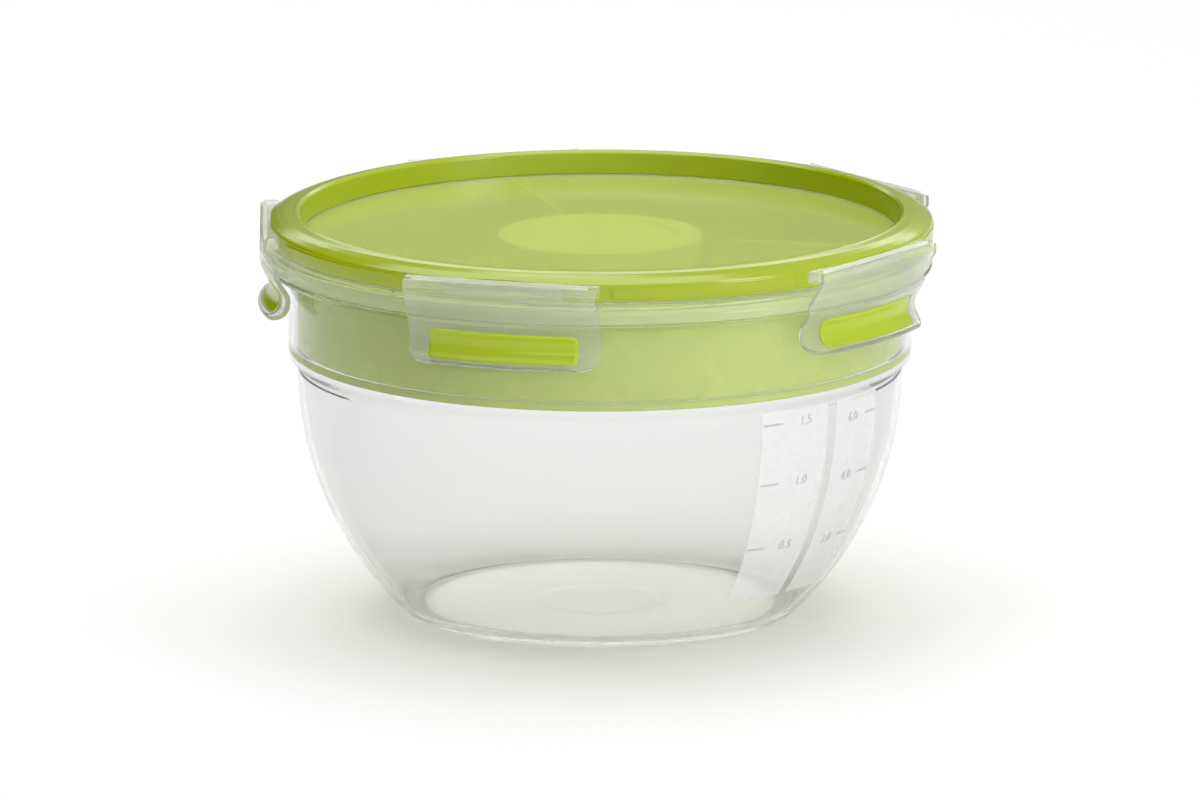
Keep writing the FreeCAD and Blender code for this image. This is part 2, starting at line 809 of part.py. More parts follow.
def export_parts(nodes):
    os.makedirs("parts", exist_ok=True)
    for node in nodes:
        shape = node.Shape
        if shape.isNull() or not shape.isValid() or len(shape.Solids) != 1:
            raise RuntimeError("%s is not one sound solid" % node.Label)
        shape.exportStep("parts/%s.step" % node.Label)
        print("%-16s %10.1f mm3" % (node.Label, shape.Volume))


doc = FreeCAD.newDocument("food_container")
sizes = Sizes(doc)
doc.recompute()
nodes = build_all(doc, sizes)
doc.recompute()
check_objects(doc)
export_parts(nodes)
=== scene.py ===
import bpy
import bmesh
import math
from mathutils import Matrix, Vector


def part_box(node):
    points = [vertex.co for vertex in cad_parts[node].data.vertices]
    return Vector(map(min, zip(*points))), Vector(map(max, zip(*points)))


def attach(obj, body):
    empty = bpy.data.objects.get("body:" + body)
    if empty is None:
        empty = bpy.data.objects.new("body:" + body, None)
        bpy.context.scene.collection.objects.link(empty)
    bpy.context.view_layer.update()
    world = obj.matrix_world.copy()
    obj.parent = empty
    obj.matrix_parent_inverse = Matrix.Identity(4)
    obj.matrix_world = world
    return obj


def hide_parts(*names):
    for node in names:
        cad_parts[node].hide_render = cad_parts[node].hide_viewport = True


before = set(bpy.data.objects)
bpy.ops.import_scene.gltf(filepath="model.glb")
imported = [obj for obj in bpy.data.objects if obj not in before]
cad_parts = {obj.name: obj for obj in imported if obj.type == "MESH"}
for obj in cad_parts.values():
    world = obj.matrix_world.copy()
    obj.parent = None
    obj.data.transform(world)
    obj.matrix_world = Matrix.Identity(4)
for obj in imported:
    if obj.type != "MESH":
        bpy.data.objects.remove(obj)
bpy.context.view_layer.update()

# Sizes of the object are in millimetres and angles in degrees; the studio is in metres.
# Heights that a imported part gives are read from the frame, so the looks follow the part.
MM = 0.001
SEGMENTS = 360
WELD = 0.001
CLIP_COUNT = 5
CLIP_STEP = 72.0
FIRST_CLIP_TURN = -107.2
CLIP_TURNS = [FIRST_CLIP_TURN + CLIP_STEP * k for k in range(CLIP_COUNT)]
DIVIDER_TURNS = [-12.0, 108.0, 228.0]


def top_of(node):
    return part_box(node)[1].z / MM


def bottom_of(node):
    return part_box(node)[0].z / MM


RIM_TOP = top_of("bowl")
TRAY_RIB_BOTTOM = bottom_of("salad_tray")
DIVIDER_TOP = top_of("salad_tray")
POT_BOTTOM = bottom_of("dressing_pot")
POT_TOP = top_of("dressing_pot")
CAP_TOP = top_of("pot_cap")
CAP_BOTTOM = bottom_of("pot_cap")
RING_CREST = top_of("lid_ring")
SKIRT_BOTTOM = bottom_of("lid_shell")
HINGE_Z = (top_of("film_hinge_1") + bottom_of("film_hinge_1")) / 2
HINGE_X = 102.9


# ---------------------------------------------------------------- materials

def link(tree, a, a_socket, b, b_socket):
    tree.links.new(a.outputs[a_socket], b.inputs[b_socket])


def noise_value(tree, scale, detail=4.0, low=0.0, high=1.0, stretch=(1, 1, 1)):
    """Object-space noise remapped to a range; returns the Map Range node."""
    coords = tree.nodes.new("ShaderNodeTexCoord")
    mapping = tree.nodes.new("ShaderNodeMapping")
    mapping.inputs["Scale"].default_value = stretch
    noise = tree.nodes.new("ShaderNodeTexNoise")
    noise.inputs["Scale"].default_value = scale
    noise.inputs["Detail"].default_value = detail
    span = tree.nodes.new("ShaderNodeMapRange")
    span.inputs["From Min"].default_value = 0.3
    span.inputs["From Max"].default_value = 0.7
    span.inputs["To Min"].default_value = low
    span.inputs["To Max"].default_value = high
    link(tree, coords, "Object", mapping, "Vector")
    link(tree, mapping, "Vector", noise, "Vector")
    link(tree, noise, "Fac", span, "Value")
    return span


def add_bump(tree, shader, scale, strength, distance):
    """Fine moulding grain: a noise bump on the shader's normal."""
    grain = noise_value(tree, scale, 6.0)
    bump = tree.nodes.new("ShaderNodeBump")
    bump.inputs["Strength"].default_value = strength
    bump.inputs["Distance"].default_value = distance
    link(tree, grain, "Result", bump, "Height")
    link(tree, bump, "Normal", shader, "Normal")


def mix_colours(tree, factor_node, first, second):
    """Colour mix between two colours, driven by a noise_value node."""
    mix = tree.nodes.new("ShaderNodeMix")
    mix.data_type = "RGBA"
    mix.inputs["A"].default_value = (*first, 1)
    mix.inputs["B"].default_value = (*second, 1)
    link(tree, factor_node, "Result", mix, "Factor")
    return mix


def new_material(name):
    mat = bpy.data.materials.new(name)
    mat.use_nodes = True
    tree = mat.node_tree
    return mat, tree, tree.nodes["Principled BSDF"], tree.nodes["Material Output"]


def let_light_through(tree, shader, output, tint):
    """Shadow rays pass the clear plastic with a tint, as light does through thin walls."""
    path = tree.nodes.new("ShaderNodeLightPath")
    clear = tree.nodes.new("ShaderNodeBsdfTransparent")
    clear.inputs["Color"].default_value = (*tint, 1)
    mix = tree.nodes.new("ShaderNodeMixShader")
    link(tree, path, "Is Shadow Ray", mix, 0)
    tree.links.new(shader.outputs[0], mix.inputs[1])
    tree.links.new(clear.outputs[0], mix.inputs[2])
    tree.links.new(mix.outputs[0], output.inputs["Surface"])


def blended(tree, factor, first, second):
    """Mix Shader between two shader nodes by a fixed share."""
    mix = tree.nodes.new("ShaderNodeMixShader")
    mix.inputs[0].default_value = factor
    tree.links.new(first.outputs[0], mix.inputs[1])
    tree.links.new(second.outputs[0], mix.inputs[2])
    return mix


def clear_plastic(name, colour, rough_low, rough_high, shadow_tint, bump=0.02, ior=1.47,
                  milk=None, share=0.0, edge=None):
    """See-through plastic, with an optional share of milky scatter at each face.

    A wall seen edge-on takes the edge colour, as light passes through more of it."""
    mat, tree, shader, output = new_material(name)
    slant = tree.nodes.new("ShaderNodeLayerWeight")
    slant.inputs["Blend"].default_value = 0.35
    tint = tree.nodes.new("ShaderNodeMix")
    tint.data_type = "RGBA"
    tint.inputs["A"].default_value = (*colour, 1)
    tint.inputs["B"].default_value = (*(edge or colour), 1)
    link(tree, slant, "Facing", tint, "Factor")
    link(tree, tint, "Result", shader, "Base Color")
    shader.inputs["Transmission Weight"].default_value = 1.0
    shader.inputs["IOR"].default_value = ior
    smudge = noise_value(tree, 18.0, 3.0, rough_low, rough_high)
    link(tree, smudge, "Result", shader, "Roughness")
    add_bump(tree, shader, 40.0, bump, 0.0004)
    if milk:
        scatter = tree.nodes.new("ShaderNodeBsdfDiffuse")
        scatter.inputs["Color"].default_value = (*milk, 1)
        glow = tree.nodes.new("ShaderNodeBsdfTranslucent")
        glow.inputs["Color"].default_value = (*milk, 1)
        shader = blended(tree, share, shader, blended(tree, 0.5, scatter, glow))
    let_light_through(tree, shader, output, shadow_tint)
    return mat


def solid_plastic(name, light, dark, rough_low, rough_high, coat=0.0, sss=0.0, bump=0.05,
                  grain=900.0):
    """Moulded plastic or rubber: mottled colour, uneven gloss, optional soft scatter."""
    mat, tree, shader, _ = new_material(name)
    tone = noise_value(tree, 12.0, 3.0)
    mix = mix_colours(tree, tone, light, dark)
    link(tree, mix, "Result", shader, "Base Color")
    rough = noise_value(tree, 60.0, 4.0, rough_low, rough_high)
    link(tree, rough, "Result", shader, "Roughness")
    shader.inputs["Coat Weight"].default_value = coat
    shader.inputs["Coat Roughness"].default_value = 0.06
    if sss:
        shader.inputs["Subsurface Weight"].default_value = sss
        shader.inputs["Subsurface Radius"].default_value = (0.6, 1.0, 0.15)
        shader.inputs["Subsurface Scale"].default_value = 0.002
    add_bump(tree, shader, grain, bump, 0.0002)
    return mat


def translucent_plastic(name, light, dark, through, rough, share, shadow_tint):
    """Milky plastic: part of the light scatters through to the far side."""
    mat, tree, shader, output = new_material(name)
    tone = noise_value(tree, 10.0, 3.0)
    mix = mix_colours(tree, tone, light, dark)
    link(tree, mix, "Result", shader, "Base Color")
    spread = noise_value(tree, 45.0, 4.0, rough * 0.85, rough * 1.15)
    link(tree, spread, "Result", shader, "Roughness")
    add_bump(tree, shader, 700.0, 0.04, 0.0002)
    glow = tree.nodes.new("ShaderNodeBsdfTranslucent")
    glow.inputs["Color"].default_value = (*through, 1)
    let_light_through(tree, blended(tree, share, shader, glow), output, shadow_tint)
    return mat


def frosted_print(name, colour, opacity):
    """Thin frosted patch: see-through by a share, with fine speckle."""
    mat, tree, shader, _ = new_material(name)
    speckle = noise_value(tree, 400.0, 2.0, opacity * 0.97, opacity * 1.03)
    tone = noise_value(tree, 25.0, 3.0)
    mix = mix_colours(tree, tone, colour, tuple(c * 0.97 for c in colour))
    link(tree, mix, "Result", shader, "Base Color")
    shader.inputs["Roughness"].default_value = 0.5
    link(tree, speckle, "Result", shader, "Alpha")
    return mat


BOWL_COLOUR = (0.92, 0.925, 0.925)
BOWL_EDGE = (0.78, 0.78, 0.78)
BOWL_MILK = (0.92, 0.93, 0.93)
GREEN_SHADE = (0.62, 0.62, 0.61)

MATS = {
    "bowl": clear_plastic("clear_bowl_plastic", BOWL_COLOUR, 0.0, 0.03, (0.95, 0.95, 0.95),
                          bump=0.008, ior=1.28, milk=BOWL_MILK, share=0.03, edge=BOWL_EDGE),
    # The base's milky scatter is its own haze. Its faint pink tint (1.0, 0.98, 1.0) is painted
    # light: it cancels the green light that the tray bounces onto the base.
    "base": clear_plastic("clear_bowl_base_plastic", (0.96, 0.965, 0.965), 0.05, 0.12,
                          (0.85, 0.85, 0.85), bump=0.008, ior=1.2, milk=(1.0, 0.98, 1.0),
                          share=0.6),
    "foot": clear_plastic("clear_bowl_foot_plastic", BOWL_COLOUR, 0.0, 0.03,
                          (0.62, 0.62, 0.62), bump=0.008, ior=1.28, milk=BOWL_MILK,
                          share=0.03, edge=BOWL_EDGE),
    "ledge": clear_plastic("clear_bowl_ledge_plastic", (0.95, 0.955, 0.955), 0.0, 0.03,
                           (0.92, 0.92, 0.92), bump=0.008, ior=1.08, milk=BOWL_MILK,
                           share=0.06, edge=(0.75, 0.75, 0.75)),
    "lid": clear_plastic("clear_lid_plastic", (0.96, 0.97, 0.95), 0.03, 0.08,
                         (0.95, 0.95, 0.95), ior=1.36, milk=(0.86, 0.9, 0.72), share=0.16),
    "clip": clear_plastic("clear_clip_plastic", (0.96, 0.97, 0.96), 0.06, 0.12,
                          (0.94, 0.94, 0.94), bump=0.03, ior=1.28, milk=(0.62, 0.65, 0.55),
                          share=0.24),
    "panel": clear_plastic("hazy_panel_plastic", (0.95, 0.97, 0.88), 0.12, 0.16,
                           (0.95, 0.96, 0.93), ior=1.3, milk=(0.64, 0.70, 0.16),
                           share=0.32),
    "ring": solid_plastic("vivid_green_plastic", (0.36, 0.45, 0.006), (0.335, 0.42, 0.005),
                          0.14, 0.2, coat=0.1, sss=0.15),
    "grip": solid_plastic("soft_green_rubber", (0.42, 0.53, 0.012), (0.39, 0.50, 0.010),
                          0.2, 0.27, sss=0.1, bump=0.06, grain=1400.0),
    "film": clear_plastic("clear_film_plastic", (0.95, 0.97, 0.92), 0.1, 0.2,
                          (0.94, 0.94, 0.94), ior=1.3, milk=(0.90, 0.93, 0.84), share=0.4),
    "tray": translucent_plastic("pale_green_tray_plastic", (0.53, 0.61, 0.17),
                                (0.51, 0.59, 0.16), (0.62, 0.72, 0.22), 0.28, 0.3,
                                GREEN_SHADE),
    "pot": translucent_plastic("pale_green_pot_plastic", (0.64, 0.73, 0.24),
                               (0.61, 0.70, 0.22), (0.66, 0.76, 0.26), 0.3, 0.3,
                               GREEN_SHADE),
    "seal": translucent_plastic("pale_seal_silicone", (0.62, 0.70, 0.30),
                                (0.59, 0.67, 0.28), (0.62, 0.72, 0.32), 0.45, 0.4,
                                (0.7, 0.72, 0.66)),
    "frost": frosted_print("frosted_scale_print", (0.82, 0.825, 0.825), 0.42),
    "mark": frosted_print("scale_mark_print", (0.52, 0.53, 0.53), 0.55),
}


# ---------------------------------------------------------------- mesh tools

def arc(start, end, radius, left, steps=24):
    """Points along an arc from start to end, both included; centre left or right."""
    x0, y0 = start
    x1, y1 = end
    chord = math.hypot(x1 - x0, y1 - y0)
    nx, ny = -(y1 - y0) / chord, (x1 - x0) / chord
    height = math.sqrt(max(radius * radius - chord * chord / 4, 0.0))
    sign = 1 if left else -1
    cx = (x0 + x1) / 2 + nx * height * sign
    cy = (y0 + y1) / 2 + ny * height * sign
    a0 = math.atan2(y0 - cy, x0 - cx)
    a1 = math.atan2(y1 - cy, x1 - cx)
    if left and a1 < a0:
        a1 += 2 * math.pi
    if not left and a1 > a0:
        a1 -= 2 * math.pi
    return [(cx + radius * math.cos(a0 + (a1 - a0) * i / steps),
             cy + radius * math.sin(a0 + (a1 - a0) * i / steps)) for i in range(steps + 1)]


def soften(points, steps=5):
    """Rounds every corner given as (x, y, radius); the outline is treated as open."""
    out = []
    for i, p in enumerate(points):
        if len(p) < 3 or p[2] <= 0 or i in (0, len(points) - 1):
            out.append((p[0], p[1]))
            continue
        here = Vector(p[:2])
        back = Vector(points[i - 1][:2]) - here
        ahead = Vector(points[i + 1][:2]) - here
        half = back.angle(ahead) / 2
        if half > math.radians(89.5):
            out.append((p[0], p[1]))
            continue
        reach = min(p[2] / math.tan(half), back.length * 0.49, ahead.length * 0.49)
        radius = reach * math.tan(half)
        start = here + back.normalized() * reach
        end = here + ahead.normalized() * reach
        turn_left = back.normalized().cross(ahead.normalized()) < 0
        out += arc(tuple(start), tuple(end), radius, turn_left, steps)
    return out


def loop_soften(points, steps=5):
    """As soften, for a closed outline."""
    around = [points[-1]] + list(points) + [points[0]]
    return soften(around, steps)[1:-1]


def dense(points, step, closed=True):
    """Adds points along each straight stretch so that none is longer than step."""
    out = []
    last = len(points) if closed else len(points) - 1
    for i in range(last):
        a, b = points[i], points[(i + 1) % len(points)]
        pieces = max(1, int(math.ceil(math.hypot(b[0] - a[0], b[1] - a[1]) / step)))
        out += [(a[0] + (b[0] - a[0]) * k / pieces, a[1] + (b[1] - a[1]) * k / pieces)
                for k in range(pieces)]
    if not closed:
        out.append(points[-1])
    return out


def tube_faces(spans, ring, ends=True):
    """Quads between closed outlines of ring points each, with a face over each end."""
    faces = []
    for i in range(spans):
        for k in range(ring):
            n = (k + 1) % ring
            faces.append([i * ring + k, i * ring + n, (i + 1) * ring + n, (i + 1) * ring + k])
    if ends:
        faces.append(list(range(ring)))
        faces.append([spans * ring + k for k in range(ring)])
    return faces


def sheet_faces(across, up):
    """Faces of a thin closed sheet: a near grid, a far grid and the border between them."""
    row, sheet = across + 1, (across + 1) * (up + 1)
    faces = []
    for j in range(up):
        for i in range(across):
            a = j * row + i
            faces.append([a, a + 1, a + row + 1, a + row])
            faces.append([sheet + a + row, sheet + a + row + 1, sheet + a + 1, sheet + a])
    border = ([j * row for j in range(up, 0, -1)] + list(range(row - 1))
              + [j * row + across for j in range(up)]
              + [up * row + i for i in range(across, 0, -1)])
    for a, b in zip(border, border[1:] + border[:1]):
        faces.append([b, a, sheet + a, sheet + b])
    return faces


def finish_mesh(name, verts, faces, mats, picks=None, body=None, sharp=35.0):
    """Makes the mesh object, with its materials and smooth shading, and rides it on a body.

    Points that fall together, as where a notch flattens an outline, are welded."""
    mesh = bpy.data.meshes.new(name)
    mesh.from_pydata([Vector(v) * MM for v in verts], [], faces)
    for key in mats:
        mesh.materials.append(MATS[key])
    if picks:
        for polygon, pick in zip(mesh.polygons, picks):
            polygon.material_index = pick
    bm = bmesh.new()
    bm.from_mesh(mesh)
    bmesh.ops.remove_doubles(bm, verts=bm.verts, dist=WELD * MM)
    bmesh.ops.recalc_face_normals(bm, faces=bm.faces)
    bm.to_mesh(mesh)
    bm.free()
    mesh.polygons.foreach_set("use_smooth", [True] * len(mesh.polygons))
    mesh.set_sharp_from_angle(angle=math.radians(sharp))
    obj = bpy.data.objects.new(name, mesh)
    bpy.context.scene.collection.objects.link(obj)
    even = obj.modifiers.new("even_normals", "WEIGHTED_NORMAL")
    even.keep_sharp = True
    if body:
        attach(obj, body)
    return obj


def lathe(name, profile, mats, body, segments=SEGMENTS, pick=None, shape=None):
    """Turns an outline round the axis. Ends on the axis close it; otherwise it is a ring."""
    on_axis = profile[0][0] < 1e-6
    verts, rings = [], []
    for r, z in profile:
        if r < 1e-6:
            rings.append([len(verts)] * segments)
            verts.append((0, 0, z))
            continue
        rings.append(list(range(len(verts), len(verts) + segments)))
        for k in range(segments):
            angle = 2 * math.pi * k / segments
            rr, zz = shape(r, z, angle) if shape else (r, z)
            verts.append((rr * math.cos(angle), rr * math.sin(angle), zz))
    faces, picks = [], []
    spans = len(rings) - 1 if on_axis else len(rings)
    for i in range(spans):
        a, b = rings[i], rings[(i + 1) % len(rings)]
        middle = [(profile[i][j] + profile[(i + 1) % len(rings)][j]) / 2 for j in (0, 1)]
        choice = pick(*middle) if pick else 0
        for k in range(segments):
            n = (k + 1) % segments
            quad = [a[k], a[n], b[n], b[k]]
            face = [v for j, v in enumerate(quad) if v not in quad[:j]]
            if len(face) > 2:
                faces.append(face)
                picks.append(choice)
    return finish_mesh(name, verts, faces, mats, picks, body)


def smooth(t):
    """Eased step from 0 to 1."""
    t = min(1.0, max(0.0, t))
    return t * t * (3 - 2 * t)


def turned(point, degrees):
    """A point of a clip's own frame turned to its place round the lid."""
    a = math.radians(degrees)
    x, y, z = point
    return (x * math.cos(a) - y * math.sin(a), x * math.sin(a) + y * math.cos(a), z)


def nearest_clip(angle):
    """Signed angle in radians to the nearest clip's middle."""
    best = None
    for turn in CLIP_TURNS:
        gap = (angle - math.radians(turn) + math.pi) % (2 * math.pi) - math.pi
        if best is None or abs(gap) < abs(best):
            best = gap
    return best


# ---------------------------------------------------------------- bowl

FOOT_RADIUS = 57.4
FOOT_CORNER = (61.65, 1.75)
BELLY_TOP = 76.0
BELLY_RADIUS = 93.0
BELLY_BORE = 91.2
BELLY_CURVE = 103.6
BELLY_CENTRE = -10.6
BAND_RADIUS = 95.9
BAND_BORE = 94.1
BAND_BOTTOM = 80.5
LEDGE_TOP = 83.9
FLANGE_RADIUS = 102.2
FLANGE_BOTTOM = 107.6
BASE_RADIUS = 54.0
BASE_TOP = 3.0
FOOT_TOP = 20.0


def belly_radius(z):
    """Outer radius of the bowl's wall between the foot and the step."""
    return BELLY_CENTRE + math.sqrt(BELLY_CURVE ** 2 - (BELLY_TOP - z) ** 2)


def make_bowl():
    """Clear wall of even thickness: foot, belly, step out to the tray's band, and flange."""
    outline = [(0, 0), (17.0, 0, 3.0), (20.6, 0.5, 3.0), (52.3, 0.5, 0.5), (53.3, 0.0, 0.5),
               (FOOT_RADIUS, 0.0)]
    outline = soften(outline)
    outline += arc((FOOT_RADIUS, 0.0), FOOT_CORNER, 6.0, True, 10)[1:]
    outline += arc(FOOT_CORNER, (BELLY_RADIUS, BELLY_TOP), BELLY_CURVE, True, 60)[1:]
    step = [(BELLY_RADIUS, BELLY_TOP), (BELLY_RADIUS, 77.6, 1.2), (BAND_RADIUS, BAND_BOTTOM, 1.4),
            (BAND_RADIUS, FLANGE_BOTTOM, 1.8), (101.74, FLANGE_BOTTOM, 0.3),
            (FLANGE_RADIUS, 108.4, 0.3), (FLANGE_RADIUS, RIM_TOP, 0.4),
            (BAND_BORE, RIM_TOP, 0.45), (BAND_BORE, LEDGE_TOP, 0.6),
            (BELLY_BORE, LEDGE_TOP, 0.7), (BELLY_BORE, BELLY_TOP)]
    outline += soften(step, 6)[1:]
    outline += arc((BELLY_BORE, BELLY_TOP), (63.3, 6.2), 101.8, False, 60)[1:]
    outline += arc((63.3, 6.2), (54.4, 2.4), 12.3, False, 12)[1:]
    outline += soften([(54.4, 2.4), (20.5, 2.4, 5.0), (17.5, 2.0, 5.0), (0, 2.0)], 6)[1:]
    looks = ["bowl", "base", "ledge", "foot"]

    def pick(r, z):
        if z < FOOT_TOP:
            return 1 if r < BASE_RADIUS and z < BASE_TOP else 3
        ledge_end = LEDGE_TOP + 0.05 if r < 94.0 else BAND_BOTTOM + 0.2
        return 2 if BELLY_TOP + 0.1 < z < ledge_end else 0

    bowl = lathe("bowl_clear_wall", outline, looks, "bowl", pick=pick)
    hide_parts("bowl")


def wall_patch(name, start, end, low, high, lift, thickness, mat, step=1.0):
    """A thin closed patch lying on the bowl's outer wall; angles from the front, degrees."""
    across = max(2, int((end - start) / step))
    up = max(2, int((high - low) / 1.5))
    verts = []
    for layer in (lift, lift + thickness):
        for j in range(up + 1):
            z = low + (high - low) * j / up
            r = belly_radius(z) + layer
            for i in range(across + 1):
                a = math.radians(start + (end - start) * i / across)
                verts.append((r * math.sin(a), -r * math.cos(a), z))
    return finish_mesh(name, verts, sheet_faces(across, up), [mat], body="bowl")


def wall_number(name, text, middle, z, height):
    """A number lying on the bowl's outer wall."""
    curve = bpy.data.curves.new(name + "_curve", "FONT")
    curve.body = text
    curve.size = height * 1.4
    curve.align_x = "CENTER"
    curve.align_y = "CENTER"
    curve.extrude = 0.05
    curve.resolution_u = 4
    holder = bpy.data.objects.new(name + "_holder", curve)
    flat = bpy.data.meshes.new_from_object(holder)
    verts = []
    for v in flat.vertices:
        up = z + v.co.y
        r = belly_radius(up) + 0.17 + v.co.z
        a = math.radians(middle) + v.co.x / r
        verts.append((r * math.sin(a), -r * math.cos(a), up))
    faces = [list(p.vertices) for p in flat.polygons]
    bpy.data.objects.remove(holder)
    return finish_mesh(name, verts, faces, ["mark"], body="bowl")


def make_scale():
    """Two frosted panels on the wall with ticks and numbers, in litres and in cups."""
    low, high, tick_half, number_size = 14.5, 77.3, 0.3, 3.0
    columns = (("litre", (32.0, 48.3), (32.4, 36.6), 42.4,
                (("1.5", 73.3), ("1.0", 54.2), ("0.5", 32.9))),
               ("cup", (50.8, 65.0), (60.6, 64.6), 56.2,
                (("6.0", 70.8), ("4.0", 52.1), ("2.0", 31.6))))
    for unit, panel, _, _, _ in columns:
        wall_patch("scale_panel_%ss" % unit, *panel, low, high, 0.02, 0.06, "frost")
    for unit, _, tick, middle, marks in columns:
        for text, z in marks:
            tag = text.replace(".", "_")
            wall_patch("%s_tick_%s" % (unit, tag), *tick, z - tick_half, z + tick_half,
                       0.1, 0.06, "mark")
            wall_number("%s_number_%s" % (unit, tag), text, middle, z, number_size)


# ---------------------------------------------------------------- tray and pot

TRAY_BOTTOM = 83.95
TRAY_FLOOR = 85.4
TRAY_RADIUS = 92.8
TRAY_RIM = 93.4
TRAY_RIM_TOP = 108.6
TRAY_RIB = (89.2, 90.6)
WELL = (32.1, 33.5)
WELL_TOP = 100.0
DIVIDER_START = 33.0
DIVIDER_END = 90.6
POT_RADIUS = 28.6
POT_BORE = 27.1
POT_FLOOR = 87.5
POT_COLLAR = 29.9
CAP_RADIUS = 31.5
CAP_BORE = 30.1
CAP_ROOF = 113.5
CAP_RIBS = 72
LUG_COUNT = 3
LUG_HALF = 17.0


def make_tray():
    """Tray with a centring rib below, a well for the pot and three radial dividers."""
    outline = soften([(0, TRAY_BOTTOM), (TRAY_RIB[0], TRAY_BOTTOM),
                      (TRAY_RIB[0], TRAY_RIB_BOTTOM, 0.4), (TRAY_RIB[1], TRAY_RIB_BOTTOM, 0.5),
                      (TRAY_RIB[1], TRAY_BOTTOM), (TRAY_RADIUS, TRAY_BOTTOM, 0.5),
                      (TRAY_RIM, TRAY_RIM_TOP, 0.5), (92.0, TRAY_RIM_TOP, 0.5),
                      (91.4, TRAY_FLOOR, 3.5), (WELL[1], TRAY_FLOOR, 1.2),
                      (WELL[1], WELL_TOP, 0.5), (WELL[0], WELL_TOP, 0.5),
                      (WELL[0], TRAY_FLOOR, 0.8), (0, TRAY_FLOOR)], 6)
    tray = lathe("salad_tray_shell", outline, ["tray"], "tray")
    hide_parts("salad_tray")
    for number, turn in enumerate(DIVIDER_TURNS, start=1):
        make_divider("tray_divider_%d" % number, turn)


def make_divider(name, turn):
    """Upright radial wall with a rounded top edge and flared ends."""
    count, nose, outer_round, half = 60, 8.0, 1.6, 0.75
    foot = TRAY_FLOOR - 0.1
    rows = []
    for i in range(count + 1):
        x = DIVIDER_START + (DIVIDER_END - DIVIDER_START) * i / count
        high = DIVIDER_TOP
        if x < DIVIDER_START + nose:
            drop = nose ** 2 - (DIVIDER_START + nose - x) ** 2
            high = DIVIDER_TOP - nose + math.sqrt(max(drop, 0.0))
        if x > DIVIDER_END - outer_round:
            drop = outer_round ** 2 - (x - DIVIDER_END + outer_round) ** 2
            high = DIVIDER_TOP - outer_round + math.sqrt(max(drop, 0.0))
        rows.append((x, high))
    section = [(-half - 0.8, 0.0), (-half - 0.25, 0.35), (-half, 1.2)]
    verts = []
    for x, high in rows:
        flare = 1.0 + 1.2 * max(0.0, 1 - (x - DIVIDER_START) / 4.0) ** 2
        column = [(s[0] * flare, foot + s[1]) for s in section]
        crown = [(-half * math.cos(t), high - half + half * math.sin(t))
                 for t in [math.pi * k / 8 for k in range(9)]]
        side = [(-half, foot + (high - half - foot) * k / 6) for k in range(2, 6)]
        left = column + side + crown
        right = [(-p[0], p[1]) for p in reversed(column + side)]
        verts += [turned((x, y, z), turn) for y, z in left + right]
    faces = tube_faces(count, len(verts) // len(rows))
    return finish_mesh(name, verts, faces, ["tray"], body="tray")


def sector(name, inner, outer, low, high, middle, half, mat, body):
    """A curved block between two radii and two heights, with eased edges."""
    steps = 16
    ease = min(0.25, (high - low) / 4, (outer - inner) / 4)
    section = loop_soften([(inner, low, ease), (outer, low, ease), (outer, high, ease),
                           (inner, high, ease)], 3)
    verts = []
    for i in range(steps + 1):
        a = math.radians(middle - half + 2 * half * i / steps)
        verts += [(r * math.cos(a), r * math.sin(a), z) for r, z in section]
    return finish_mesh(name, verts, tube_faces(steps, len(section)), [mat], body=body)


def make_pot():
    """Pot with a standing ring and a collar, and its dished cap with a ribbed edge."""
    wall = soften([(0, POT_BOTTOM + 0.6), (22.5, POT_BOTTOM + 0.6, 0.4), (23.1, POT_BOTTOM, 0.3),
                   (POT_RADIUS, POT_BOTTOM, 1.0), (POT_RADIUS, 104.7, 0.5),
                   (POT_COLLAR, 105.5, 0.3), (POT_COLLAR, 106.5, 0.3),
                   (POT_RADIUS, 107.3, 0.5), (POT_RADIUS, POT_TOP, 0.4),
                   (POT_BORE, POT_TOP, 0.4), (POT_BORE, POT_FLOOR, 3.0), (0, POT_FLOOR)], 5)
    pot = lathe("dressing_pot_wall", wall, ["pot"], "pot", 240)
    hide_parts("dressing_pot")
    dish = CAP_TOP - 1.1
    cap = soften([(0, CAP_ROOF), (CAP_BORE, CAP_ROOF, 0.3), (CAP_BORE, CAP_BOTTOM, 0.4),
                  (CAP_RADIUS, CAP_BOTTOM, 0.4), (CAP_RADIUS, CAP_TOP, 0.55),
                  (24.5, CAP_TOP, 0.4), (23.7, dish, 0.5), (0, dish)], 5)

    def ribbed(r, z, angle):
        rib = max(0.0, math.sin(angle * CAP_RIBS)) ** 2 * 0.18
        return (r - rib if r > CAP_RADIUS - 0.2 and 108.2 < z < 115.0 else r, z)

    cap_wall = lathe("pot_cap_wall", dense(cap, 2.0, closed=False), ["pot"], "pot_cap_body",
                     720, shape=ribbed)
    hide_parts("pot_cap")
    for number in range(LUG_COUNT):
        middle = 360.0 / LUG_COUNT * number
        sector("pot_lug_%d" % (number + 1), 28.3, 29.7, 109.4, 110.6, middle, LUG_HALF,
               "pot", "pot")
        sector("pot_cap_lug_%d" % (number + 1), 28.8, 30.4, 107.9, 109.1, middle, LUG_HALF,
               "pot", "pot_cap_body")
    washer = loop_soften([(25.6, 112.4, 0.3), (28.9, 112.4, 0.3), (28.9, 113.45, 0.3),
                          (25.6, 113.45, 0.3)], 4)
    seal = lathe("pot_cap_seal_washer", washer, ["seal"], "pot_cap_body", 240)
    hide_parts("pot_cap_seal")


# ---------------------------------------------------------------- lid

